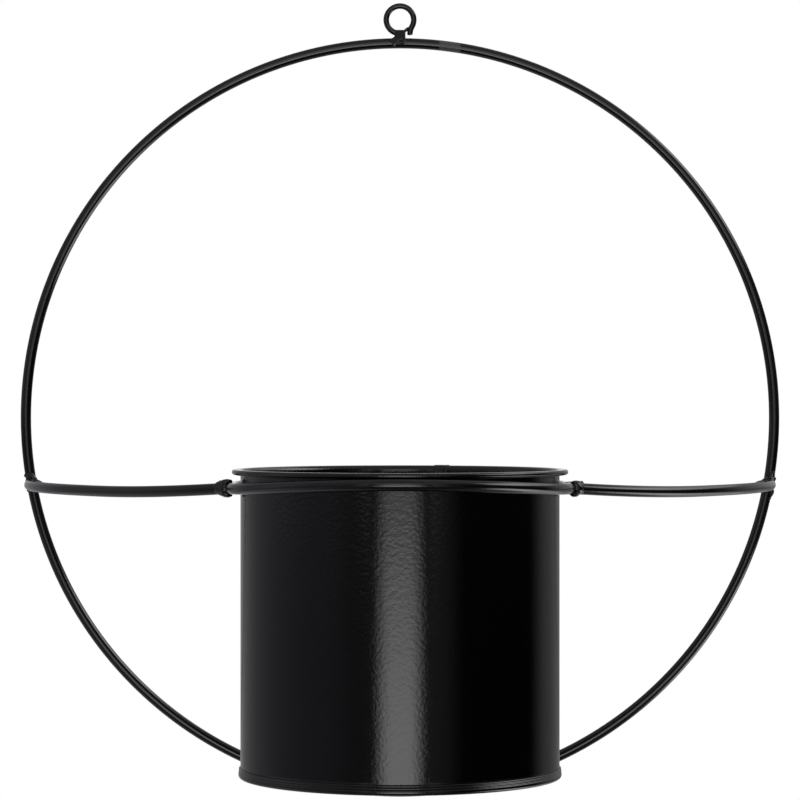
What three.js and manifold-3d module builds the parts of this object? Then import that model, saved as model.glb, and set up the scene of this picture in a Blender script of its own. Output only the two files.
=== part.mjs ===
// Wall planter: a round-wire hoop that hangs on a wall by a small eye, two wire arms that
// come forward from it in one horizontal half-circle, a wire ring between the arms, and a
// sheet-steel pot that hangs in the ring by its rolled rim.
//
// Millimetres, +Z up. The hoop stands in the XZ plane with its back to the wall at +Y, and
// the pot is in front of it, towards -Y. The origin is the highest point inside the eye,
// where the nail or hook carries the planter.

import * as THREE from 'three';
import { mergeVertices } from 'three/addons/utils/BufferGeometryUtils.js';
import Module from 'manifold-3d';

// ---- Driving dimensions: hoop and eye ----

const hoopOuterDiameter = 400;
const hoopWire = 5.5;
const eyeOuterDiameter = 17.5;
const eyeWire = 3;
const eyeStandoff = 0.9; // the eye's lowest point above the hoop's highest one
const eyeTailStart = 22; // degrees below the horizontal where the free end turns straight
const eyeTailAboveHoop = 2.1; // from the middle of the free end's cut to the hoop's top

// ---- Driving dimensions: arms ----

const armWire = 5.5;
const armsBelowHoopCentre = 34.9;
const armRise = 3; // how far the arms turn up on their way to the ring
const armRiseLength = 84; // the stretch of arm that turns up

// ---- Driving dimensions: pot ----

const potDiameter = 151; // over the straight wall
const potHeight = 145.6;
const sheet = 0.7; // coated sheet
const rimOverhang = 4.1; // how far the rim stands out past the wall
const rimRoll = 2.6; // diameter of the roll that ends the rim
const rimRollTurn = 255; // degrees that the sheet turns through in the roll
const neckBend = 2.2; // radius, on the sheet's middle, of the bend from wall to rim
const baseSeamHeight = 4.9;
const floorHeight = 3; // the base's middle above the pot's lowest point
const floorBend = 1;
const lapWidth = 7; // side seam, one sheet lapped over the other
const lapAngle = 15.5; // degrees from the rear centre towards +X

// ---- Driving dimensions: ring ----

const ringWire = 5.5;
const ringSaddle = 3.7; // how much lower the ring's sides are than its front and back
const liftClearance = 0.75; // between the ring and the pot's base seam as it is lifted out

// ---- Driving dimensions: welds ----

const eyeWeldWidth = 6.2;
const eyeWeldFoot = 9.4; // its width where it spreads on the hoop
const eyeWeldAboveEyeBottom = 0.9; // how far it fills the inside of the eye
const eyeWeldBelowHoopTop = 4;
const eyeWeldInFront = 1.1; // how far it stands in front of the hoop's wire
const eyeWeldRounding = 0.7;
const hoopWeldProud = 1.4; // beside the arm
const hoopWeldSpread = 3.8; // along the hoop, past the arm on each side
const hoopWeldDepth = 7.2; // along the arm
const ringWeldProud = 1.55; // above and below the arm
const ringWeldWidth = 7.7; // along the arm
const ringWeldLength = 10.5; // along the ring
const ringWeldOffset = 1.7; // its middle outside the ring's outer edge

// ---- Clearances between pieces ----

const touchGap = 0.3;
const seamGap = 0.3;

// ---- Facets ----

const wireSides = 10;
const thinWireSides = 8;
const hoopSteps = 112;
const ringSteps = 72;
const armSteps = 30;
const eyeSteps = 28;
const potSteps = 60;
const bendSteps = 3; // an arc in an outline gets twice as many
const weldSides = 14;
const weldRings = 8;
const samePoint = 0.001; // outline points closer than this are one

// ---- Sizes that follow ----

const hoopRadius = (hoopOuterDiameter - hoopWire) / 2;
const eyeRadius = (eyeOuterDiameter - eyeWire) / 2;
const eyeHeight = hoopOuterDiameter / 2 + eyeStandoff + eyeOuterDiameter / 2;
const hangHeight = eyeHeight + eyeRadius - eyeWire / 2;

// The arms stand on the ends of the hoop's chord, as the two ends of one half-circle.
const armRadius = Math.sqrt(hoopRadius ** 2 - armsBelowHoopCentre ** 2);

// The ring lets the base seam through, and sits where its sides meet the arms' half-circle.
const potRadius = potDiameter / 2;
const wallRadius = potRadius - sheet / 2;
const seamReach = sheet + seamGap; // from the wall's middle to the base's sheet beside it
const ringRadius = wallRadius + seamReach + sheet / 2 + liftClearance + ringWire / 2;
const ringForward = Math.sqrt(armRadius ** 2 - ringRadius ** 2);
const ringSideHeight = armRise - armsBelowHoopCentre;
const ringEndHeight = ringSideHeight + ringSaddle;

// The rim's roll rests on the ring at the front and at the back.
const rollCentreRadius = potRadius + rimOverhang - rimRoll / 2;
const rollToRing = rimRoll / 2 + ringWire / 2 + touchGap;
const rollAboveRing = Math.sqrt(rollToRing ** 2 - (ringRadius - rollCentreRadius) ** 2);
const rimTopHeight = ringEndHeight + rollAboveRing + rimRoll / 2;

const degrees = Math.PI / 180;

// ---- Solids ----

const wasm = await Module();
wasm.setup();

/** Turns a closed three.js geometry into a solid that can be joined and cut. */
function solidOf(geometry) {
  const bare = geometry.clone();
  bare.deleteAttribute('normal');
  bare.deleteAttribute('uv');
  const merged = mergeVertices(bare);
  const mesh = new wasm.Mesh({
    numProp: 3,
    vertProperties: merged.attributes.position.array,
    triVerts: new Uint32Array(merged.index.array),
  });
  return new wasm.Manifold(mesh);
}

/** Turns a solid back into a geometry. */
function geometryOf(solid) {
  const mesh = solid.getMesh();
  const geometry = new THREE.BufferGeometry();
  geometry.setAttribute('position', new THREE.BufferAttribute(mesh.vertProperties, 3));
  geometry.setIndex(new THREE.BufferAttribute(mesh.triVerts, 1));
  geometry.computeVertexNormals();
  return geometry;
}

/** A wire of round section along a curve, with square ends. */
function wireAlong(curve, wireRadius, sides, steps) {
  const section = new THREE.Shape().absarc(0, 0, wireRadius, 0, 2 * Math.PI);
  return new THREE.ExtrudeGeometry(section, {
    extrudePath: curve,
    steps,
    curveSegments: sides / 2,
    bevelEnabled: false,
  });
}

/** The outline of a bent sheet: its middle line, offset by half its thickness on each side. */
function sheetOutline(middleLine) {
  const outer = [];
  const inner = [];
  middleLine.forEach((point, i) => {
    const before = middleLine[Math.max(i - 1, 0)];
    const after = middleLine[Math.min(i + 1, middleLine.length - 1)];
    const along = after.clone().sub(before).normalize();
    const across = new THREE.Vector2(along.y, -along.x).multiplyScalar(sheet / 2);
    outer.push(point.clone().add(across));
    inner.push(point.clone().sub(across));
  });
  return [...outer, ...inner.reverse()];
}

/** Revolves an outline of radii and heights round the vertical axis. */
function revolve(outline) {
  return new THREE.LatheGeometry(outline, potSteps).rotateX(Math.PI / 2);
}

// ---- Wires ----

/** The hoop's ring of wire, upright, round the hoop's centre. */
function hoopGeometry(wireRadius) {
  const hoop = new THREE.TorusGeometry(hoopRadius, wireRadius, wireSides, hoopSteps);
  return hoop.rotateX(Math.PI / 2);
}

/** The pot's ring: level at the front and back, with its two sides pulled down. */
function ringGeometry(wireRadius) {
  const ring = new THREE.TorusGeometry(ringRadius, wireRadius, wireSides, ringSteps);
  const places = ring.attributes.position;
  for (let i = 0; i < places.count; i += 1) {
    const round = Math.atan2(places.getY(i), places.getX(i));
    places.setZ(i, places.getZ(i) - ringSaddle * Math.cos(round) ** 2);
  }
  return ring.translate(0, -ringForward, ringEndHeight);
}

/** One arm's middle line: a level arc from the hoop's plane, turning up towards the ring. */
class ArmLine extends THREE.Curve {
  constructor(side) {
    super();
    this.side = side;
    this.sweep = Math.asin(ringForward / armRadius);
  }

  getPoint(t, target = new THREE.Vector3()) {
    const round = this.sweep * t;
    const left = armRadius * (this.sweep - round);
    const risen = Math.max(0, 1 - left / armRiseLength);
    return target.set(
      this.side * armRadius * Math.cos(round),
      -armRadius * Math.sin(round),
      armRise * risen ** 2 - armsBelowHoopCentre,
    );
  }
}

function armGeometry(side, wireRadius) {
  return wireAlong(new ArmLine(side), wireRadius, wireSides, armSteps);
}

/** The eye's middle line: a straight tail up from its cut end, then an arc over to its foot. */
class EyeLine extends THREE.Curve {
  constructor() {
    super();
    this.start = -eyeTailStart * degrees;
    const tailHeight = eyeHeight + eyeRadius * Math.sin(this.start);
    const endHeight = hoopOuterDiameter / 2 + eyeTailAboveHoop;
    this.tail = (tailHeight - endHeight) / Math.cos(this.start);
    this.arc = eyeRadius * (1.5 * Math.PI - this.start);
  }

  getPoint(t, target = new THREE.Vector3()) {
    const along = (this.tail + this.arc) * t - this.tail;
    const round = this.start + Math.max(along, 0) / eyeRadius;
    const below = Math.max(-along, 0);
    return target.set(
      eyeRadius * Math.cos(round) + below * Math.sin(round),
      0,
      eyeHeight + eyeRadius * Math.sin(round) - below * Math.cos(round),
    );
  }
}

function eyeGeometry(wireRadius) {
  return wireAlong(new EyeLine(), wireRadius, thinWireSides, eyeSteps);
}

// ---- Solids that several pieces are cut by: each wire with the gap round it ----

const hoopSpace = solidOf(hoopGeometry(hoopWire / 2 + touchGap));
const ringSpace = solidOf(ringGeometry(ringWire / 2 + touchGap));
const eyeSpace = solidOf(eyeGeometry(eyeWire / 2 + touchGap));

/** An arm, cut to seat on the hoop's wire at one end and on the ring's at the other. */
function seatedArm(side) {
  const arm = solidOf(armGeometry(side, armWire / 2));
  return geometryOf(arm.subtract(hoopSpace).subtract(ringSpace));
}

// ---- Welds ----

/** A rounded lump of weld. */
function lump(width, depth, height) {
  return new THREE.SphereGeometry(0.5, weldSides, weldRings).scale(width, depth, height);
}

/** The weld round an arm's end on the front of the hoop, stretched along the hoop. */
function hoopWeld(side) {
  const width = armWire + 2 * hoopWeldProud;
  const height = armWire + 2 * hoopWeldSpread;
  const lean = side * Math.asin(armsBelowHoopCentre / hoopRadius);
  const weld = lump(width, hoopWeldDepth, height)
    .rotateY(lean)
    .translate(side * armRadius, -hoopWeldDepth / 2, -armsBelowHoopCentre);
  const armSpace = solidOf(armGeometry(side, armWire / 2 + touchGap));
  return geometryOf(solidOf(weld).subtract(hoopSpace).subtract(armSpace));
}

/** The weld nugget round an arm's end on the side of the ring. */
function ringWeld(side) {
  const height = armWire + 2 * ringWeldProud;
  const outward = ringRadius + ringWire / 2 + ringWeldOffset;
  const weld = lump(ringWeldWidth, ringWeldLength, height)
    .translate(side * outward, -ringForward, ringSideHeight);
  const armSpace = solidOf(armGeometry(side, armWire / 2 + touchGap));
  return geometryOf(solidOf(weld).subtract(ringSpace).subtract(armSpace));
}

/** The weld that fixes the eye on the hoop: a flat-topped lug that spreads at its foot. */
function eyeWeld() {
  const hoopTop = hoopOuterDiameter / 2;
  const top = eyeHeight - eyeRadius + eyeWire / 2 + eyeWeldAboveEyeBottom;
  const bottom = hoopTop - eyeWeldBelowHoopTop;
  const half = eyeWeldWidth / 2 - eyeWeldRounding;
  const footHalf = eyeWeldFoot / 2 - eyeWeldRounding;
  const face = new THREE.Shape([
    new THREE.Vector2(half, bottom + eyeWeldRounding),
    new THREE.Vector2(footHalf, hoopTop - hoopWire / 2),
    new THREE.Vector2(half, hoopTop + eyeStandoff),
    new THREE.Vector2(half, top - eyeWeldRounding),
    new THREE.Vector2(-half, top - eyeWeldRounding),
    new THREE.Vector2(-half, hoopTop + eyeStandoff),
    new THREE.Vector2(-footHalf, hoopTop - hoopWire / 2),
    new THREE.Vector2(-half, bottom + eyeWeldRounding),
  ]);
  const front = hoopWire / 2 + eyeWeldInFront;
  const weld = new THREE.ExtrudeGeometry(face, {
    depth: front + hoopWire / 2 - 2 * eyeWeldRounding,
    bevelThickness: eyeWeldRounding,
    bevelSize: eyeWeldRounding,
    bevelSegments: 3,
  });
  weld.rotateX(Math.PI / 2).translate(0, hoopWire / 2 - eyeWeldRounding, 0);
  return geometryOf(solidOf(weld).subtract(hoopSpace).subtract(eyeSpace));
}

// ---- Pot, with its rim's top at height 0 ----

/** The shell: a straight wall, a neck bent outwards, and a rim rolled down and under. */
function potShell() {
  const bottomEdge = sheet + seamGap - potHeight;
  const flange = -sheet / 2;
  const rollEnd = Math.PI / 2 - rimRollTurn * degrees;
  const middle = new THREE.Path()
    .moveTo(wallRadius, bottomEdge)
    .lineTo(wallRadius, flange - neckBend)
    .absarc(wallRadius + neckBend, flange - neckBend, neckBend, Math.PI, Math.PI / 2, true)
    .lineTo(rollCentreRadius, flange)
    .absarc(rollCentreRadius, -rimRoll / 2, (rimRoll - sheet) / 2, Math.PI / 2, rollEnd, true);
  const outline = sheetOutline(pointsOf(middle));
  const wall = solidOf(revolve([...outline, outline[0]]));
  return geometryOf(wall.add(solidOf(sideLap())));
}

/** The side seam's outer lap: a strip of sheet on the wall, between base seam and neck. */
function sideLap() {
  const halfAngle = lapWidth / 2 / potRadius;
  const centre = Math.PI / 2 - lapAngle * degrees;
  const section = new THREE.Shape()
    .absarc(0, 0, potRadius + sheet, centre - halfAngle, centre + halfAngle, false)
    .absarc(0, 0, wallRadius, centre + halfAngle, centre - halfAngle, true);
  const bottom = baseSeamHeight + seamGap - potHeight;
  const top = -sheet / 2 - neckBend;
  const lap = new THREE.ExtrudeGeometry(section, {
    depth: top - bottom,
    curveSegments: bendSteps,
    bevelEnabled: false,
  });
  return lap.translate(0, 0, bottom);
}

/** The base: a pressed floor whose edge turns down, under the shell's edge and up outside. */
function potBase() {
  const bottom = -potHeight;
  const inside = wallRadius - seamReach;
  const outside = wallRadius + seamReach;
  const floor = bottom + floorHeight;
  const turn = bottom + sheet / 2 + seamReach;
  const middle = new THREE.Path()
    .moveTo(0, floor)
    .lineTo(inside - floorBend, floor)
    .absarc(inside - floorBend, floor - floorBend, floorBend, Math.PI / 2, 0, true)
    .lineTo(inside, turn)
    .absarc(wallRadius, turn, seamReach, Math.PI, 2 * Math.PI, false)
    .lineTo(outside, bottom + baseSeamHeight);
  return revolve(sheetOutline(pointsOf(middle)));
}

/** A path's points, with none repeated where one stretch ends and the next begins. */
function pointsOf(path) {
  const points = path.getPoints(bendSteps);
  return points.filter((point, i) => i === 0 || point.distanceTo(points[i - 1]) > samePoint);
}

// ---- Finish: gloss black powder coat on every piece, a little rougher on the welds ----

const wireFinish = { color: 0x0c0c0e, roughness: 0.28, metalness: 0 };
const potFinish = { color: 0x0d0d0f, roughness: 0.22, metalness: 0 };
const weldFinish = { color: 0x0a0a0b, roughness: 0.42, metalness: 0 };

function piece(name, geometry, finish) {
  const mesh = new THREE.Mesh(geometry, new THREE.MeshStandardMaterial(finish));
  mesh.name = name;
  return mesh;
}

// ---- Assembly ----

const wireframe = new THREE.Group();
wireframe.position.z = -hangHeight;
wireframe.add(piece('hoop', hoopGeometry(hoopWire / 2), wireFinish));
wireframe.add(piece('eye_ring', eyeGeometry(eyeWire / 2), wireFinish));
wireframe.add(piece('eye_weld', eyeWeld(), weldFinish));
wireframe.add(piece('holder_ring', ringGeometry(ringWire / 2), wireFinish));
for (const [name, side] of [['left', -1], ['right', 1]]) {
  wireframe.add(piece(`${name}_arm`, seatedArm(side), wireFinish));
  wireframe.add(piece(`${name}_hoop_weld`, hoopWeld(side), weldFinish));
  wireframe.add(piece(`${name}_ring_weld`, ringWeld(side), weldFinish));
}

const pot = new THREE.Group();
pot.position.set(0, -ringForward, rimTopHeight);
pot.add(piece('pot_shell', potShell(), potFinish));
pot.add(piece('pot_base', potBase(), potFinish));
wireframe.add(pot);

const planter = new THREE.Group();
planter.add(wireframe);

export default planter;
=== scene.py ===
# Wall planter: a wire hoop with an eye, two wire arms, a ring and a sheet-steel pot, all in
# gloss black powder coat. Lengths are written in millimetres and turned into metres by MM,
# apart from the studio's, which are in metres.

import math

import bmesh
import bpy
from mathutils import Matrix, Vector, noise


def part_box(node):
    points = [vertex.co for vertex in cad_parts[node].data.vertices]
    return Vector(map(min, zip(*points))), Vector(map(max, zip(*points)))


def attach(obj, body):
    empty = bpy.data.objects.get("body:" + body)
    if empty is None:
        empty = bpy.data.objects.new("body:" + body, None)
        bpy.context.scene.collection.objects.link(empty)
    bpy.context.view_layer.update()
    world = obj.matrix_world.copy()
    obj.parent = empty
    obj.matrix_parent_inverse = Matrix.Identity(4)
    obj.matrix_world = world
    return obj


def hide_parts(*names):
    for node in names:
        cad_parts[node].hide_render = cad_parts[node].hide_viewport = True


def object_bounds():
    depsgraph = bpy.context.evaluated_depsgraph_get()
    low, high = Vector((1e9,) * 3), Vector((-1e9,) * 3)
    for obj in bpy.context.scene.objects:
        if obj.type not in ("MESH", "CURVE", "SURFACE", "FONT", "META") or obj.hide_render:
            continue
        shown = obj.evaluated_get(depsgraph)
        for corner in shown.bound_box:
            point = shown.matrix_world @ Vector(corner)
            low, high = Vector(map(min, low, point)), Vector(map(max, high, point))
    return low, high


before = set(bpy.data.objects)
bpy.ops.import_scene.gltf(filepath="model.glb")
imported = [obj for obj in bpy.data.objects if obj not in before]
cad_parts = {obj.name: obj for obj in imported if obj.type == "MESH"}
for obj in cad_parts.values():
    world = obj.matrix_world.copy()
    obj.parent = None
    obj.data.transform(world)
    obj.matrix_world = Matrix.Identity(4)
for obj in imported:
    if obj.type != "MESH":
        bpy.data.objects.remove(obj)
cad_low, cad_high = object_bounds()

MM = 0.001

# ---- Sizes of the wires and the sheet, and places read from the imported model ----

WIRE = 5.5 * MM
EYE_WIRE = 3.0 * MM
SHEET = 0.7 * MM

hoop_low, hoop_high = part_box("hoop")
HOOP_RADIUS = (hoop_high.x - hoop_low.x - WIRE) / 2
HOOP_CENTRE = Vector((0, 0, (hoop_low.z + hoop_high.z) / 2))

ring_low, ring_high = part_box("holder_ring")
RING_RADIUS = (ring_high.x - ring_low.x - WIRE) / 2
RING_CENTRE = Vector((0, (ring_low.y + ring_high.y) / 2, 0))
RING_SADDLE = 3.7 * MM  # how far the ring's sides lie below its front and back
ARM_DROP = 34.9 * MM  # from the hoop's centre down to where the arms join it
ARM_HEIGHT = HOOP_CENTRE.z - ARM_DROP
ARM_RISE = 3.0 * MM  # how far an arm turns up before the ring, over its last stretch
ARM_RISE_LENGTH = 84 * MM
RING_SIDE_HEIGHT = ARM_HEIGHT + ARM_RISE
RING_END_HEIGHT = RING_SIDE_HEIGHT + RING_SADDLE
ARM_RADIUS = math.hypot(RING_CENTRE.y, RING_RADIUS)
ARM_FROM_HOOP = 1.2 * MM  # from an arm's end to the middle of the hoop's wire
ARM_FROM_RING = 1.5 * MM  # and from its other end to the middle of the ring's wire

EYE_OUTSIDE = 17.5 * MM
EYE_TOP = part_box("eye_ring")[1].z
EYE_RADIUS = (EYE_OUTSIDE - EYE_WIRE) / 2
EYE_CENTRE = Vector((0, 0, EYE_TOP - EYE_WIRE / 2 - EYE_RADIUS))
EYE_TAIL_START = math.radians(-30)  # where the free end leaves the eye's circle
EYE_TAIL = 4.7 * MM
EYE_TAIL_BEND = 7.6 * MM  # the radius that it bends outwards on
EYE_END_ROUNDING = 0.8 * MM

POT_AXIS = Vector((0, RING_CENTRE.y, 0))
RIM_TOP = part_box("pot_shell")[1].z
POT_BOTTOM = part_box("pot_base")[0].z
WALL_RADIUS = 75.15 * MM  # to the middle of the sheet
SEAM_HEIGHT = 4.9 * MM
LAP_WIDTH = 7 * MM
LAP_PLACE = math.radians(90 - 15.5)  # its middle, from +X round to the rear

# The hoop's ground butt weld: where it starts and ends in X, and how softly
BUTT_WELD = (20.3 * MM, 32.2 * MM, 0.9 * MM)
BUTT_WELD_GREY = "#3e3e41"
BUTT_WELD_ROUGHNESS = 0.34


# ---- Colours and material nodes ----

def colour(hex_code):
    """An sRGB hex value as linear red, green, blue and alpha."""
    parts = [int(hex_code[i:i + 2], 16) / 255 for i in (1, 3, 5)]
    linear = [p / 12.92 if p <= 0.04045 else ((p + 0.055) / 1.055) ** 2.4 for p in parts]
    return (*linear, 1.0)


def add_node(tree, kind, settings=None, inputs=None):
    """A node with its settings; an input is a value or another node's output."""
    made = tree.nodes.new(kind)
    for key, value in (settings or {}).items():
        setattr(made, key, value)
    for key, value in (inputs or {}).items():
        if isinstance(value, bpy.types.NodeSocket):
            tree.links.new(value, made.inputs[key])
        else:
            made.inputs[key].default_value = value
    return made


def set_ramp(ramp, stops):
    """Puts (place, linear colour) stops on a ColorRamp node."""
    elements = ramp.color_ramp.elements
    while len(elements) > 1:
        elements.remove(elements[-1])
    elements[0].position, elements[0].color = stops[0]
    for place, shade in stops[1:]:
        elements.new(place).color = shade


def grey(level, blue=0.0):
    """A linear grey, a little bluer if asked."""
    return (level, level, level + blue, 1.0)


def new_tree(name):
    """An empty material and its nodes."""
    material = bpy.data.materials.new(name)
    material.use_nodes = True
    material.node_tree.nodes.clear()
    return material, material.node_tree


def per_length(length):
    """The scale at which a noise repeats about once in a length."""
    return 1 / length


GLOSS_CLOUD = 24 * MM  # from one shinier place of the coat to the next


def powder_coat(name, hexes, roughness, spread, peel, peel_depth, grit, grit_depth,
                dull_patch=None):
    """Black polyester powder coat, sprayed and baked: a clear-edged gloss with orange peel,
    fine grit and slight changes of gloss from place to place. A dull patch is a ground weld
    under thin coat, and is given as its start, its end and its softness in X. The grit of a
    real coat is about 0.1 mm wide, too fine to show, so it is drawn coarser."""
    material, tree = new_tree(name)
    place = add_node(tree, "ShaderNodeTexCoord").outputs["Object"]
    cloud = add_node(tree, "ShaderNodeTexNoise", None, {
        "Vector": place, "Scale": per_length(GLOSS_CLOUD), "Detail": 4.0, "Roughness": 0.55})
    orange_peel = add_node(tree, "ShaderNodeTexNoise", None, {
        "Vector": place, "Scale": per_length(peel), "Detail": 1.5, "Roughness": 0.5})
    fine_grit = add_node(tree, "ShaderNodeTexNoise", None, {
        "Vector": place, "Scale": per_length(grit), "Detail": 2.0, "Roughness": 0.6})
    shade = add_node(tree, "ShaderNodeMix", {"data_type": "RGBA"}, {
        "Factor": cloud.outputs["Fac"], 6: colour(hexes[0]), 7: colour(hexes[1])}).outputs[2]
    gloss = add_node(tree, "ShaderNodeMapRange", None, {
        "Value": cloud.outputs["Fac"], "From Min": 0.3, "From Max": 0.7,
        "To Min": roughness - spread, "To Max": roughness + spread}).outputs["Result"]
    if dull_patch:
        start, end, softness = dull_patch
        across = add_node(tree, "ShaderNodeSeparateXYZ", None, {0: place})
        after = add_node(tree, "ShaderNodeMapRange", {"interpolation_type": "SMOOTHSTEP"}, {
            "Value": across.outputs["X"], "From Min": start, "From Max": start + softness})
        before = add_node(tree, "ShaderNodeMapRange", {"interpolation_type": "SMOOTHSTEP"}, {
            "Value": across.outputs["X"], "From Min": end, "From Max": end - softness})
        above = add_node(tree, "ShaderNodeMath", {"operation": "GREATER_THAN"}, {
            0: across.outputs["Z"], 1: HOOP_CENTRE.z})
        inside = add_node(tree, "ShaderNodeMath", {"operation": "MULTIPLY"}, {
            0: after.outputs["Result"], 1: before.outputs["Result"]})
        patch = add_node(tree, "ShaderNodeMath", {"operation": "MULTIPLY"}, {
            0: inside.outputs[0], 1: above.outputs[0]}).outputs[0]
        shade = add_node(tree, "ShaderNodeMix", {"data_type": "RGBA"}, {
            "Factor": patch, 6: shade, 7: colour(BUTT_WELD_GREY)}).outputs[2]
        gloss = add_node(tree, "ShaderNodeMix", {"data_type": "FLOAT"}, {
            "Factor": patch, 2: gloss, 3: BUTT_WELD_ROUGHNESS}).outputs[0]
    peel_bump = add_node(tree, "ShaderNodeBump", None, {
        "Strength": 1.0, "Distance": peel_depth, "Height": orange_peel.outputs["Fac"]})
    grit_bump = add_node(tree, "ShaderNodeBump", None, {
        "Strength": 1.0, "Distance": grit_depth, "Height": fine_grit.outputs["Fac"],
        "Normal": peel_bump.outputs["Normal"]})
    surface = add_node(tree, "ShaderNodeBsdfPrincipled", None, {
        "Base Color": shade, "Roughness": gloss, "IOR": 1.5,
        "Normal": grit_bump.outputs["Normal"]})
    add_node(tree, "ShaderNodeOutputMaterial", None, {"Surface": surface.outputs["BSDF"]})
    return material


# On the pot's smooth sheet: near black, with reflections whose edges the orange peel frets.
POT_COAT = powder_coat("gloss_powder_coat_on_sheet_steel", ("#010101", "#020203"),
                       0.13, 0.015, 1.7 * MM, 0.055 * MM, 0.6 * MM, 0.006 * MM)
# On drawn wire: long, clear streaks of light along it.
WIRE_COAT = powder_coat("gloss_powder_coat_on_steel_wire", ("#040405", "#09090a"),
                        0.125, 0.025, 1.9 * MM, 0.03 * MM, 0.6 * MM, 0.007 * MM)
# On the hoop's wire: the same streaks, broken by the grey, satin patch of the butt weld.
HOOP_COAT = powder_coat("gloss_powder_coat_on_hoop_with_ground_weld", ("#060607", "#0c0c0e"),
                        0.125, 0.025, 1.9 * MM, 0.03 * MM, 0.6 * MM, 0.007 * MM, BUTT_WELD)
# On weld metal: small, softer glints on lumps and pits.
WELD_COAT = powder_coat("gloss_powder_coat_on_weld_metal", ("#020203", "#060607"),
                        0.2, 0.05, 1.1 * MM, 0.04 * MM, 0.4 * MM, 0.012 * MM)


# ---- Shaping ----

TOUCHING = 0.002 * MM  # points nearer than this are one


def finish_piece(name, shape, material, body, slot, *nodes):
    """Makes an object of a bmesh, in its material, and puts it in the place of CAD nodes."""
    bmesh.ops.remove_doubles(shape, verts=shape.verts, dist=TOUCHING)
    bmesh.ops.recalc_face_normals(shape, faces=shape.faces)
    mesh = bpy.data.meshes.new(name)
    shape.to_mesh(mesh)
    shape.free()
    mesh.shade_smooth()
    mesh.materials.append(material)
    piece = bpy.data.objects.new(name, mesh)
    bpy.context.scene.collection.objects.link(piece)
    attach(piece, body)
    if nodes:
        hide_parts(*nodes)
    return piece


def wire_arc(radius, wire, start, turn, steps, sides=28, tail=0.0, tail_steps=1):
    """A wire bent round the upright axis, from a starting angle, as a bmesh. Its tail is a
    straight stretch before the bend."""
    shape = bmesh.new()
    turned = Matrix.Rotation(start, 4, "Z")
    place = turned @ Matrix.Translation((radius, -tail, 0)) @ Matrix.Rotation(math.pi / 2, 4, "X")
    bmesh.ops.create_circle(shape, cap_ends=False, segments=sides, radius=wire / 2, matrix=place)
    section = shape.verts[:] + shape.edges[:]
    if tail:
        along = turned @ Vector((0, tail / tail_steps, 0))
        section = bmesh.ops.spin(shape, geom=section, cent=(0, 0, 0), axis=(0, 0, 1),
                                 dvec=along, angle=0, steps=tail_steps)["geom_last"]
    closed = abs(turn) >= 2 * math.pi - 1e-6
    bmesh.ops.spin(shape, geom=section, cent=(0, 0, 0), axis=(0, 0, 1), dvec=(0, 0, 0),
                   angle=turn, steps=steps, use_merge=closed)
    if not closed:
        bmesh.ops.holes_fill(shape, edges=[e for e in shape.edges if e.is_boundary])
    return shape


BLOCK_ROUNDING = 0.5 * MM
ROUGH_FADE = 1.5 * MM  # the height over which the roughness of weld metal comes in


def fused_lump(lumps, blocks, voxel, smoothing, rough, pits, rough_length, seed, rough_top=None):
    """Weld metal: rounded lumps and bevelled blocks fused to one skin, which is roughened and
    pitted up to a height. A lump or a block is its centre, its three widths and its turn."""
    shape = bmesh.new()
    for centre, size, turn in lumps:
        stretch = Matrix.Diagonal((*[w / 2 for w in size], 1))
        bmesh.ops.create_icosphere(shape, subdivisions=3, radius=1.0,
                                   matrix=Matrix.Translation(centre) @ turn @ stretch)
    for centre, size, turn in blocks:
        made = bmesh.ops.create_cube(shape, size=1.0, matrix=Matrix.Translation(centre) @ turn
                                     @ Matrix.Diagonal((*size, 1)))["verts"]
        bmesh.ops.bevel(shape, geom=list({e for v in made for e in v.link_edges}),
                        offset=BLOCK_ROUNDING, segments=3, profile=0.5, affect="EDGES",
                        material=-1)
    mesh = bpy.data.meshes.new("lumps")
    shape.to_mesh(mesh)
    shape.free()
    soft = bpy.data.objects.new("lumps", mesh)
    bpy.context.scene.collection.objects.link(soft)
    remesh = soft.modifiers.new("skin", "REMESH")
    remesh.mode = "VOXEL"
    remesh.voxel_size = voxel
    bpy.context.view_layer.update()
    skin = bpy.data.meshes.new_from_object(soft.evaluated_get(
        bpy.context.evaluated_depsgraph_get()))
    bpy.data.objects.remove(soft)
    shape = bmesh.new()
    shape.from_mesh(skin)
    for _ in range(smoothing):
        bmesh.ops.smooth_vert(shape, verts=shape.verts, factor=0.5,
                              use_axis_x=True, use_axis_y=True, use_axis_z=True)
    shape.normal_update()
    for vertex in shape.verts:
        place = vertex.co / rough_length + Vector((seed, seed, seed))
        share = 1.0
        if rough_top is not None:
            share = min(1.0, max(0.0, (rough_top - vertex.co.z) / ROUGH_FADE))
        waves = rough * noise.fractal(place, 0.9, 2.2, 3)
        holes = pits * min(1.0, max(0.0, noise.noise(place * 1.3) * 5 - 1.4))
        vertex.co += vertex.normal * share * (waves - holes)
    return shape


UPRIGHT = Matrix.Rotation(math.pi / 2, 3, "X")  # from lying flat to standing at the wall

# ---- Hoop ----

hoop = wire_arc(HOOP_RADIUS, WIRE, 0, 2 * math.pi, 288)
bmesh.ops.rotate(hoop, verts=hoop.verts, cent=(0, 0, 0), matrix=UPRIGHT)
bmesh.ops.translate(hoop, verts=hoop.verts, vec=HOOP_CENTRE)
finish_piece("hoop_wire", hoop, HOOP_COAT, "frame", "wire_black", "hoop")

# ---- Eye: open wire ring whose cut end bends away beside the weld and stands free ----

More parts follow.
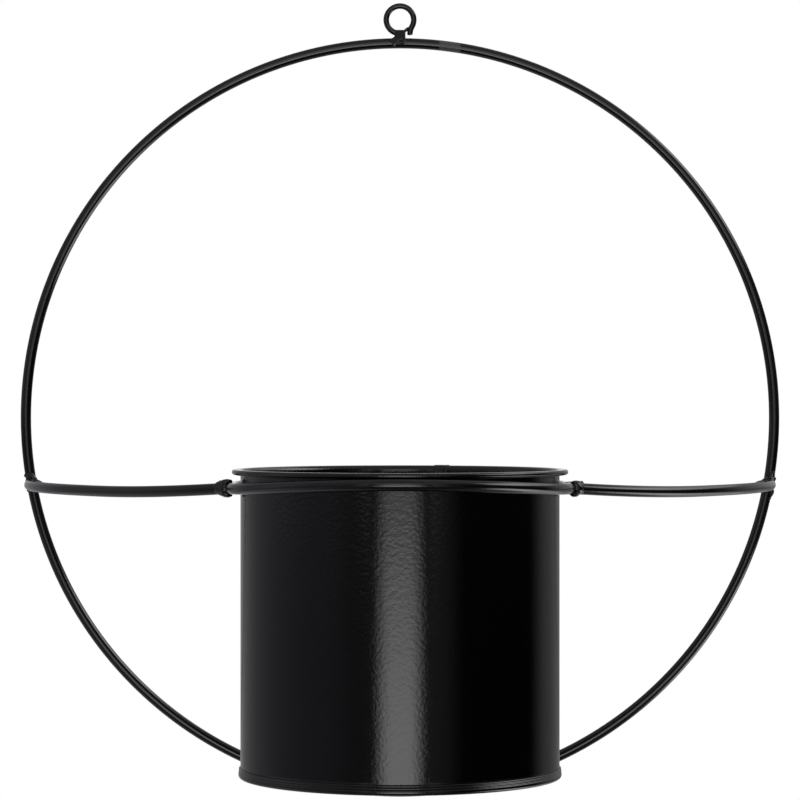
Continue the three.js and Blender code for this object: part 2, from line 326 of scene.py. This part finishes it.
eye = wire_arc(EYE_RADIUS, EYE_WIRE, EYE_TAIL_START, math.radians(270) - EYE_TAIL_START, 96, 24,
               EYE_TAIL, 5)
ends = [e for e in eye.edges if any(len(f.verts) > 4 for f in e.link_faces)]
bmesh.ops.bevel(eye, geom=ends, offset=EYE_END_ROUNDING, segments=4, profile=0.5,
                affect="EDGES", material=-1)
to_tail = Matrix.Rotation(-EYE_TAIL_START, 3, "Z")
bmesh.ops.rotate(eye, verts=eye.verts, cent=(0, 0, 0), matrix=to_tail)
for vertex in eye.verts:
    if vertex.co.y < 0 and vertex.co.x > EYE_RADIUS - 0.6 * EYE_WIRE:  # in the free end
        reach = EYE_RADIUS + EYE_TAIL_BEND - vertex.co.x
        bent = -vertex.co.y / EYE_TAIL_BEND
        vertex.co.x = EYE_RADIUS + EYE_TAIL_BEND - reach * math.cos(bent)
        vertex.co.y = -reach * math.sin(bent)
bmesh.ops.rotate(eye, verts=eye.verts, cent=(0, 0, 0), matrix=UPRIGHT @ to_tail.inverted())
bmesh.ops.translate(eye, verts=eye.verts, vec=EYE_CENTRE)
finish_piece("eye_wire", eye, WIRE_COAT, "frame", "wire_black", "eye_ring")

# ---- Ring: level at the front and back, its two sides pulled down ----

ring = wire_arc(RING_RADIUS, WIRE, 0, 2 * math.pi, 192)
for vertex in ring.verts:
    round_axis = math.atan2(vertex.co.y, vertex.co.x)
    vertex.co.z += RING_END_HEIGHT - RING_SADDLE * math.cos(round_axis) ** 2
bmesh.ops.translate(ring, verts=ring.verts, vec=RING_CENTRE)
finish_piece("ring_wire", ring, WIRE_COAT, "frame", "wire_black", "holder_ring")


# ---- Arms: the two ends of one half-circle, from the hoop to the ring ----

def arm_height(swept, sweep):
    """The height of an arm's middle at an angle from the hoop's plane."""
    left = ARM_RADIUS * (sweep - swept)
    return ARM_HEIGHT + ARM_RISE * max(0.0, 1 - left / ARM_RISE_LENGTH) ** 2


for side, name in ((-1, "left"), (1, "right")):
    sweep = math.asin(-RING_CENTRE.y / ARM_RADIUS)
    first = ARM_FROM_HOOP / ARM_RADIUS
    last = sweep - ARM_FROM_RING / ARM_RADIUS
    arm = wire_arc(ARM_RADIUS, WIRE, -first, first - last, 96)
    for vertex in arm.verts:
        vertex.co.z += arm_height(-math.atan2(vertex.co.y, vertex.co.x), sweep)
    bmesh.ops.scale(arm, verts=arm.verts, vec=(side, 1, 1))
    finish_piece(f"{name}_arm_wire", arm, WIRE_COAT, "frame", "wire_black", f"{name}_arm")


# ---- Welds ----

STRAIGHT = Matrix.Identity(4)


def on_frame(x, y, z):
    """A point given in millimetres, its height from the hoop's centre."""
    return HOOP_CENTRE + Vector((x, y, z)) * MM


def widths(x, y, z):
    """A lump's three widths, given in millimetres."""
    return (x * MM, y * MM, z * MM)


def tilt(degrees, axis):
    """A lump's turn about an axis."""
    return Matrix.Rotation(math.radians(degrees), 4, axis)


# The fillets between hoop and arms, with their toes and drops.
ARM_X = ARM_RADIUS / MM
left_hoop = [
    (on_frame(-ARM_X, -2.1, -34.9), widths(6.7, 4.2, 8.4), tilt(-10, "Y")),
    (on_frame(-ARM_X - 0.5, -1.9, -31.7), widths(4.2, 3.8, 5.8), tilt(-9, "Y")),
    (on_frame(-ARM_X + 0.8, -2.2, -31.6), widths(7.4, 3.6, 3.2), tilt(48, "Y")),
    (on_frame(-ARM_X + 3.2, -2.4, -34.1), widths(7.4, 3.8, 2.8), tilt(18, "Y")),
    (on_frame(-ARM_X - 3.1, -0.9, -30.6), widths(1.9, 2.2, 2.3), STRAIGHT),
    (on_frame(-ARM_X - 0.4, -1.9, -38.0), widths(4.4, 3.6, 3.2), tilt(-9, "Y")),
]
right_hoop = [
    (on_frame(ARM_X, -2.7, -34.9), widths(6.7, 5.0, 8.6), tilt(10, "Y")),
    (on_frame(ARM_X + 1.5, -1.9, -30.9), widths(3.6, 4.6, 6.4), tilt(9, "Y")),
    (on_frame(ARM_X - 1.4, -3.0, -32.8), widths(8.0, 4.4, 2.6), tilt(-26, "Y")),
    (on_frame(ARM_X - 4.2, -3.6, -34.1), widths(7.0, 4.4, 2.4), tilt(-14, "Y")),
    (on_frame(ARM_X + 2.2, -2.9, -28.9), widths(1.9, 1.9, 1.7), STRAIGHT),
    (on_frame(ARM_X + 0.9, -3.9, -31.1), widths(1.8, 1.8, 1.9), STRAIGHT),
    (on_frame(ARM_X + 3.0, -2.2, -32.3), widths(2.0, 2.0, 2.2), STRAIGHT),
    (on_frame(ARM_X - 2.2, -2.0, -38.4), widths(4.2, 3.2, 3.8), tilt(12, "Y")),
    (on_frame(ARM_X + 1.6, -2.1, -39.6), widths(2.4, 2.8, 4.8), tilt(12, "Y")),
    (on_frame(ARM_X + 0.5, -2.5, -42.6), widths(1.7, 1.7, 1.9), STRAIGHT),
]
for name, lumps, rough, seed in (("left", left_hoop, 0.03, 3.1), ("right", right_hoop, 0.12, 8.7)):
    fillet = fused_lump(lumps, [], 0.15 * MM, 9, rough * MM, rough * MM, 1.4 * MM, seed)
    finish_piece(f"{name}_hoop_fillet", fillet, WIRE_COAT, "frame", "weld_black",
                 f"{name}_hoop_weld")

# The nuggets between arms and ring, which flare from the arm's width to the ring's wire.
RING_Y = RING_CENTRE.y / MM
RING_X = (RING_RADIUS + WIRE / 2) / MM
SIDE_Z = (RING_SIDE_HEIGHT - HOOP_CENTRE.z) / MM
left_ring = [
    (on_frame(-RING_X - 0.3, RING_Y, SIDE_Z), widths(6.2, 8.6, 8.4), STRAIGHT),
    (on_frame(-RING_X - 1.8, RING_Y + 0.9, SIDE_Z), widths(5.4, 7.6, 7.6), STRAIGHT),
    (on_frame(-RING_X - 3.0, RING_Y + 1.6, SIDE_Z), widths(5.4, 6.3, 6.4), STRAIGHT),
    (on_frame(-RING_X + 0.6, RING_Y - 0.9, SIDE_Z + 3.0), widths(6.0, 5.6, 2.6), tilt(-3, "Y")),
    (on_frame(-RING_X + 0.5, RING_Y - 0.8, SIDE_Z - 3.0), widths(6.0, 5.6, 2.8), tilt(9, "Y")),
]
right_ring = [
    (on_frame(RING_X - 2.2, RING_Y - 0.2, SIDE_Z), widths(9.0, 6.8, 6.4), STRAIGHT),
    (on_frame(RING_X + 0.9, RING_Y, SIDE_Z), widths(7.0, 8.4, 7.0), STRAIGHT),
    (on_frame(RING_X + 1.8, RING_Y + 0.9, SIDE_Z + 0.1), widths(5.4, 7.2, 6.9), STRAIGHT),
    (on_frame(RING_X + 3.5, RING_Y + 1.5, SIDE_Z + 0.1), widths(2.4, 6.7, 6.9), STRAIGHT),
    (on_frame(RING_X + 0.5, RING_Y - 1.1, SIDE_Z + 1.7), widths(5.6, 5.6, 4.0), tilt(8, "Y")),
    (on_frame(RING_X + 0.0, RING_Y - 1.2, SIDE_Z - 3.0), widths(4.4, 4.6, 2.5), tilt(-6, "Y")),
]
for name, lumps, coat, rough, pits, seed in (
        ("left", left_ring, WELD_COAT, 0.12, 0.3, 5.3),
        ("right", right_ring, WIRE_COAT, 0.06, 0.3, 1.9)):
    nugget = fused_lump(lumps, [], 0.17 * MM, 8, rough * MM, pits * MM, 1.3 * MM, seed)
    finish_piece(f"{name}_ring_nugget", nugget, coat, "frame", "weld_black",
                 f"{name}_ring_weld")

# The eye's weld: a lug with a flat top that leans back and is smeared over the hoop.
LUG_IN_EYE = 0.9 * MM  # how far it fills the inside of the eye
LUG_TOP = (EYE_CENTRE.z - EYE_RADIUS + EYE_WIRE / 2 + LUG_IN_EYE - HOOP_CENTRE.z) / MM
lug_blocks = [
    (on_frame(0.0, -0.5, LUG_TOP - 4.9), widths(5.8, 4.4, 8.0), tilt(-20, "X")),
    (on_frame(-1.8, -1.6, LUG_TOP - 6.4), widths(5.8, 4.2, 3.9), tilt(-35, "Y") @ tilt(-24, "X")),
]
smear = [
    (on_frame(-3.0, -1.6, LUG_TOP - 6.9), widths(4.0, 3.6, 3.0), tilt(-30, "Y")),
    (on_frame(1.9, -2.0, LUG_TOP - 6.7), widths(2.2, 2.8, 2.2), STRAIGHT),
    (on_frame(3.5, -0.2, LUG_TOP - 0.35), widths(3.8, 2.4, 1.8), tilt(-40, "Y")),
]
lug = fused_lump(smear, lug_blocks, 0.14 * MM, 3, 0.05 * MM, 0.15 * MM, 1.3 * MM, 2.4,
                 on_frame(0, 0, LUG_TOP - 4.2).z)
finish_piece("eye_lug", lug, WELD_COAT, "frame", "weld_black", "eye_weld")


# ---- Pot ----

class SheetLine:
    """The middle line of a bent sheet, drawn from one edge to the other by straight
    stretches and bends, in radii and heights."""

    def __init__(self, radius, height):
        self.shape = bmesh.new()
        self.last = self.shape.verts.new((radius, 0, height))

    def straight(self, radius, height):
        made = bmesh.ops.extrude_vert_indiv(self.shape, verts=[self.last])
        self.last = made["verts"][0]
        self.last.co = (radius, 0, height)

    def bend(self, centre_radius, centre_height, degrees, steps):
        """Turns about a centre; a positive angle goes from height towards radius."""
        made = bmesh.ops.spin(self.shape, geom=[self.last], axis=(0, 1, 0), steps=steps,
                              cent=(centre_radius, 0, centre_height), dvec=(0, 0, 0),
                              angle=math.radians(degrees))
        self.last = [v for v in made["geom_last"] if isinstance(v, bmesh.types.BMVert)][0]

    def turned(self, steps, angle=2 * math.pi, start=0.0):
        """The line spun round the pot's axis, and moved there."""
        if start:
            bmesh.ops.rotate(self.shape, verts=self.shape.verts, cent=(0, 0, 0),
                             matrix=Matrix.Rotation(start, 3, "Z"))
        bmesh.ops.spin(self.shape, geom=self.shape.verts[:] + self.shape.edges[:],
                       cent=(0, 0, 0), axis=(0, 0, 1), dvec=(0, 0, 0), angle=angle,
                       steps=steps, use_merge=angle >= 2 * math.pi)
        bmesh.ops.translate(self.shape, verts=self.shape.verts, vec=POT_AXIS)
        return self.shape


def as_sheet(piece, thickness):
    """Gives a piece the thickness of sheet, half on each side."""
    sheet = piece.modifiers.new("sheet", "SOLIDIFY")
    sheet.thickness = thickness
    sheet.offset = 0


NECK_BEND = 2.2 * MM
ROLL = 2.6 * MM  # the thickness of the rim's roll
ROLL_RADIUS = 78.3 * MM  # from the pot's axis to the middle of the roll
ROLL_TURN = 255
FLANGE = RIM_TOP - SHEET / 2
SEAM_GAP = 0.3 * MM
BASE_OUTSIDE = WALL_RADIUS + SHEET + SEAM_GAP
BASE_INSIDE = WALL_RADIUS - SHEET - SEAM_GAP

# The wall has a ring of points near its foot and its neck, which keep its shading flat.
shell = SheetLine(WALL_RADIUS, POT_BOTTOM + 1.0 * MM)
shell.straight(WALL_RADIUS, POT_BOTTOM + 6 * MM)
shell.straight(WALL_RADIUS, FLANGE - NECK_BEND - 1.0 * MM)
shell.straight(WALL_RADIUS, FLANGE - NECK_BEND)
shell.bend(WALL_RADIUS + NECK_BEND, FLANGE - NECK_BEND, 90, 8)
shell.straight(ROLL_RADIUS, FLANGE)
shell.bend(ROLL_RADIUS, RIM_TOP - ROLL / 2, ROLL_TURN, 18)
wall = finish_piece("pot_wall", shell.turned(256), POT_COAT, "pot", "pot_black", "pot_shell")
as_sheet(wall, SHEET)

# The base folds under the wall and up outside it, where two grooves are rolled into the fold.
POT_FLOOR = POT_BOTTOM + 3 * MM
POT_FLOOR_BEND = 1 * MM
FOLD_HEIGHT = POT_BOTTOM + 1.35 * MM  # the centre of the fold under the wall
GROOVES_START = 1.9 * MM
LIP_START = 4.2 * MM
LIP_BEND = 0.35 * MM
GROOVE_DEPTH = 0.32 * MM
GROOVE_STEPS = 20
FOLD_TAPER = 0.2 * MM
base = SheetLine(0, POT_FLOOR)
base.straight(BASE_INSIDE - POT_FLOOR_BEND, POT_FLOOR)
base.bend(BASE_INSIDE - POT_FLOOR_BEND, POT_FLOOR - POT_FLOOR_BEND, 90, 6)
base.straight(BASE_INSIDE, FOLD_HEIGHT)
base.bend(WALL_RADIUS, FOLD_HEIGHT, -180, 12)
base.straight(BASE_OUTSIDE, POT_BOTTOM + GROOVES_START)
for step in range(1, GROOVE_STEPS + 1):
    share = step / GROOVE_STEPS
    depth = GROOVE_DEPTH * (1 - math.cos(4 * math.pi * share)) / 2 + FOLD_TAPER * share
    base.straight(BASE_OUTSIDE - depth,
                  POT_BOTTOM + GROOVES_START + (LIP_START - GROOVES_START) * share)
base.bend(BASE_OUTSIDE - FOLD_TAPER - LIP_BEND, POT_BOTTOM + LIP_START, -90, 5)
floor_piece = finish_piece("pot_floor", base.turned(256), POT_COAT, "pot", "pot_black",
                           "pot_base")
as_sheet(floor_piece, SHEET)


def lap_strip(name, line, thickness):
    """One edge of the lapped side seam: a narrow strip of sheet with softened edges."""
    angle = LAP_WIDTH / WALL_RADIUS
    strip = finish_piece(name, line.turned(6, angle, LAP_PLACE - angle / 2), POT_COAT, "pot",
                         "pot_black")
    as_sheet(strip, thickness)
    soften = strip.modifiers.new("soften", "BEVEL")
    soften.width = 0.12 * MM
    soften.segments = 2
    soften.limit_method = "ANGLE"
    soften.angle_limit = math.radians(40)


outer_lap = SheetLine(WALL_RADIUS + SHEET, POT_BOTTOM + SEAM_HEIGHT + SEAM_GAP)
outer_lap.straight(WALL_RADIUS + SHEET, FLANGE - NECK_BEND + 0.6 * MM)
lap_strip("side_seam_outside", outer_lap, SHEET)

INNER_LAP = 0.35 * MM
INNER_LAP_INSET = 0.45 * MM  # from the middle of the wall's sheet to the middle of the lap
inner_lap = SheetLine(WALL_RADIUS - INNER_LAP_INSET, POT_BOTTOM + 3.5 * MM)
inner_lap.straight(WALL_RADIUS - INNER_LAP_INSET, FLANGE - NECK_BEND)
inner_lap.bend(WALL_RADIUS + NECK_BEND, FLANGE - NECK_BEND, 90, 8)
inner_lap.straight(ROLL_RADIUS, FLANGE + INNER_LAP_INSET)
inner_lap.bend(ROLL_RADIUS, RIM_TOP - ROLL / 2, 200, 14)
lap_strip("side_seam_inside", inner_lap, INNER_LAP)


# ---- Studio: camera, floor, lights ----

CAMERA_DISTANCE = 1.740  # in front of the hoop
CAMERA_HEIGHT = -0.1999
CAMERA_LENS, CAMERA_SENSOR = 148.5, 36
CAMERA_SHIFT = -0.015  # lowers the level camera's frame a little, as the photo is cut

lens = bpy.data.cameras.new("camera")
lens.lens = CAMERA_LENS
lens.sensor_width = CAMERA_SENSOR
lens.shift_y = CAMERA_SHIFT
lens.clip_end = 50
camera = bpy.data.objects.new("camera", lens)
camera.location = (0, -CAMERA_DISTANCE, CAMERA_HEIGHT)
camera.rotation_euler = (math.pi / 2, 0, 0)
bpy.context.scene.collection.objects.link(camera)
bpy.context.scene.camera = camera
bpy.context.scene.view_settings.view_transform = "Standard"


def stage_piece(name, shape, material, **seen):
    """A piece of the studio, and which rays see it."""
    mesh = bpy.data.meshes.new(name)
    shape.to_mesh(mesh)
    shape.free()
    mesh.materials.append(material)
    piece = bpy.data.objects.new(name, mesh)
    bpy.context.scene.collection.objects.link(piece)
    for key, value in seen.items():
        setattr(piece, key, value)


# The floor: matt white paint, which keeps a soft shadow near the object and fades into the
# white backdrop.
STUDIO_FLOOR = cad_low.z - 0.2
FLOOR_REACH = 8.0
FADE_START, FADE_END = 0.8, 1.5  # from the middle of the floor
FLOOR_WHITENESS = 0.75  # how much of what the camera sees is backdrop even near the object
floor_paint, tree = new_tree("white_floor_paint")
place = add_node(tree, "ShaderNodeTexCoord").outputs["Object"]
away = add_node(tree, "ShaderNodeVectorMath", {"operation": "LENGTH"}, {0: place})
fade = add_node(tree, "ShaderNodeMapRange", {"interpolation_type": "SMOOTHSTEP"}, {
    "Value": away.outputs["Value"], "From Min": FADE_START, "From Max": FADE_END})
path = add_node(tree, "ShaderNodeLightPath")
far = add_node(tree, "ShaderNodeMath", {"operation": "MULTIPLY"}, {
    0: fade.outputs["Result"], 1: path.outputs["Is Camera Ray"]})
near = add_node(tree, "ShaderNodeMath", {"operation": "MULTIPLY"}, {
    0: path.outputs["Is Camera Ray"], 1: FLOOR_WHITENESS})
share = add_node(tree, "ShaderNodeMath", {"operation": "MAXIMUM"}, {
    0: far.outputs[0], 1: near.outputs[0]})
paint = add_node(tree, "ShaderNodeBsdfDiffuse", None, {"Color": colour("#f2f2f2")})
white = add_node(tree, "ShaderNodeEmission", None, {"Color": colour("#ffffff"), "Strength": 1.0})
mixed = add_node(tree, "ShaderNodeMixShader", None, {
    0: share.outputs[0], 1: paint.outputs["BSDF"], 2: white.outputs["Emission"]})
add_node(tree, "ShaderNodeOutputMaterial", None, {"Surface": mixed.outputs["Shader"]})
disc = bmesh.new()
bmesh.ops.create_circle(disc, cap_ends=True, segments=64, radius=FLOOR_REACH,
                        matrix=Matrix.Translation((0, 0, STUDIO_FLOOR)))
stage_piece("floor", disc, floor_paint, visible_glossy=False)

# The front softbox, behind the camera. Its lit cloth shows in the gloss as the pale strip down
# the pot, brightest at its foot and fading towards its sides.
BOX_PLACE = 2.4  # in front of the hoop
BOX_HALF_WIDTH = 0.82
BOX_BRIGHT_HALF = 0.24  # half the width of its even middle
BOX_STRENGTH = 3.2
BOX_LOW, BOX_HIGH = -1.35, 0.95
box_glow, tree = new_tree("softbox_cloth")
place = add_node(tree, "ShaderNodeTexCoord").outputs["Object"]
spot = add_node(tree, "ShaderNodeSeparateXYZ", None, {0: place})
up = add_node(tree, "ShaderNodeMapRange", None, {
    "Value": spot.outputs["Z"], "From Min": -1.0, "From Max": 1.0})
glow = add_node(tree, "ShaderNodeValToRGB", None, {0: up.outputs["Result"]})
set_ramp(glow, [(0.0, grey(1.0)), (0.215, grey(0.99)), (0.255, grey(0.86)), (0.29, grey(0.8)),
                (0.325, grey(0.3)), (0.35, grey(0.28)), (0.47, grey(0.33)), (0.55, grey(0.42)),
                (0.72, grey(0.47)), (1.0, grey(0.38))])
aside = add_node(tree, "ShaderNodeMath", {"operation": "ABSOLUTE"}, {0: spot.outputs["X"]})
fade = add_node(tree, "ShaderNodeMapRange", {"interpolation_type": "SMOOTHSTEP"}, {
    "Value": aside.outputs[0], "From Min": BOX_BRIGHT_HALF, "From Max": BOX_HALF_WIDTH,
    "To Min": BOX_STRENGTH, "To Max": 0.0})
shine = add_node(tree, "ShaderNodeEmission", None, {
    "Color": glow.outputs["Color"], "Strength": fade.outputs["Result"]})
add_node(tree, "ShaderNodeOutputMaterial", None, {"Surface": shine.outputs["Emission"]})
panel = bmesh.new()
bmesh.ops.create_grid(panel, x_segments=1, y_segments=1, size=0.5,
                      matrix=Matrix.Translation((0, -BOX_PLACE, (BOX_LOW + BOX_HIGH) / 2))
                      @ Matrix.Rotation(math.pi / 2, 4, "X")
                      @ Matrix.Diagonal((2 * BOX_HALF_WIDTH, BOX_HIGH - BOX_LOW, 1, 1)))
stage_piece("softbox", panel, box_glow, visible_camera=False)

# The overhead lamp, which no reflection shows. It lights the floor and lays the soft shadow.
LAMP_WIDTH = 2.0
LAMP_PLACE = (0, -0.3, 2.2)
LAMP_WATTS = 30
overhead = bpy.data.lights.new("overhead", "AREA")
overhead.shape = "RECTANGLE"
overhead.size, overhead.size_y = LAMP_WIDTH, LAMP_WIDTH
overhead.energy = LAMP_WATTS
lamp = bpy.data.objects.new("overhead", overhead)
lamp.location = LAMP_PLACE
lamp.visible_camera = False
lamp.visible_glossy = False
bpy.context.scene.collection.objects.link(lamp)

# The world: white behind the object, and the studio that the photographed gloss shows.
world = bpy.data.worlds.new("studio")
world.use_nodes = True
bpy.context.scene.world = world
tree = world.node_tree
tree.nodes.clear()
direction = add_node(tree, "ShaderNodeTexCoord").outputs["Generated"]
parts = add_node(tree, "ShaderNodeSeparateXYZ", None, {0: direction})
to_front = add_node(tree, "ShaderNodeMath", {"operation": "MULTIPLY"}, {
    0: parts.outputs["Y"], 1: -1.0})
azimuth = add_node(tree, "ShaderNodeMath", {"operation": "ARCTAN2"}, {
    0: parts.outputs["X"], 1: to_front.outputs[0]})
turn = add_node(tree, "ShaderNodeMapRange", None, {
    "Value": azimuth.outputs[0], "From Min": -math.pi, "From Max": math.pi})


def round_room(tree, turn, stops):
    """Levels of light round the room, at degrees from the camera's side towards +X."""
    ramp = add_node(tree, "ShaderNodeValToRGB", None, {0: turn.outputs["Result"]})
    set_ramp(ramp, [((degrees + 180) / 360, grey(*level)) for degrees, *level in stops])
    return ramp.outputs["Color"]


ground = round_room(tree, turn, [
    (-180, 0.45), (-95, 0.5, 0.02), (-50, 0.2, 0.02), (-25, 0.1), (40, 0.08), (95, 0.25),
    (180, 0.45),
])
walls = round_room(tree, turn, [
    (-180, 1.0), (-176, 1.0), (-173, 0.45, 0.02), (-158, 0.3, 0.02), (-125, 0.21, 0.02),
    (-91, 0.45, 0.03), (-62, 0.26, 0.03),
    (-48, 0.3, 0.03), (-33, 0.2), (-20, 0.75), (20, 0.75), (33, 0.15), (45, 0.05), (110, 0.05),
    (128, 0.35), (173, 0.4), (176, 1.0), (180, 1.0),
])
low_walls = round_room(tree, turn, [
    (-180, 1.0), (-176, 1.0), (-172, 0.36), (-150, 0.27), (-110, 0.24, 0.02), (-78, 0.18, 0.03),
    (-55, 0.16, 0.03), (-28, 0.08), (22, 0.14), (34, 0.11), (46, 0.003), (108, 0.003),
    (125, 0.2), (173, 0.22), (176, 1.0), (180, 1.0),
])
ceiling = round_room(tree, turn, [
    (-180, 0.3, 0.04), (-40, 0.38, 0.05), (0, 0.34, 0.04), (40, 0.4, 0.05), (180, 0.42, 0.05),
])
room = ground
for seen, start, end in ((walls, -0.45, -0.35), (low_walls, -0.22, -0.17), (walls, -0.03, 0.0),
                         (ceiling, 0.45, 0.7)):
    share = add_node(tree, "ShaderNodeMapRange", {"interpolation_type": "SMOOTHSTEP"}, {
        "Value": parts.outputs["Z"], "From Min": start, "From Max": end})
    room = add_node(tree, "ShaderNodeMix", {"data_type": "RGBA"}, {
        0: share.outputs["Result"], 6: room, 7: seen}).outputs[2]

# On the right the room is bright above and below a dark stand.
windows = round_room(tree, turn, [
    (60, 0.0), (78, 3.4), (96, 3.8), (112, 2.3), (128, 1.0), (148, 0.6), (168, 0.0),
])
level = add_node(tree, "ShaderNodeMapRange", None, {
    "Value": parts.outputs["Z"], "From Min": -1.0, "From Max": 1.0})
strips = add_node(tree, "ShaderNodeValToRGB", None, {0: level.outputs["Result"]})
set_ramp(strips, [(0.12, grey(0)), (0.16, grey(1)), (0.28, grey(1)), (0.33, grey(0)),
                  (0.69, grey(0)), (0.74, grey(1)), (0.85, grey(1)), (0.89, grey(0))])
glare = add_node(tree, "ShaderNodeMix", {"data_type": "RGBA", "blend_type": "MULTIPLY"}, {
    0: 1.0, 6: windows, 7: strips.outputs["Color"]})
room = add_node(tree, "ShaderNodeMix", {"data_type": "RGBA", "blend_type": "ADD"}, {
    0: 1.0, 6: room, 7: glare.outputs[2]}).outputs[2]
path = add_node(tree, "ShaderNodeLightPath")
seen_white = add_node(tree, "ShaderNodeMath", {"operation": "MAXIMUM"}, {
    0: path.outputs["Is Camera Ray"], 1: path.outputs["Is Transmission Ray"]})
gloss_view = add_node(tree, "ShaderNodeBackground", None, {"Color": room, "Strength": 1.0})
ambient = add_node(tree, "ShaderNodeBackground", None, {"Color": grey(0.5), "Strength": 1.0})
backdrop = add_node(tree, "ShaderNodeBackground", None, {"Color": grey(1.0), "Strength": 1.0})
lit = add_node(tree, "ShaderNodeMixShader", None, {
    0: path.outputs["Is Glossy Ray"], 1: ambient.outputs[0], 2: gloss_view.outputs[0]})
shown = add_node(tree, "ShaderNodeMixShader", None, {
    0: seen_white.outputs[0], 1: lit.outputs[0], 2: backdrop.outputs[0]})
add_node(tree, "ShaderNodeOutputWorld", None, {"Surface": shown.outputs[0]})
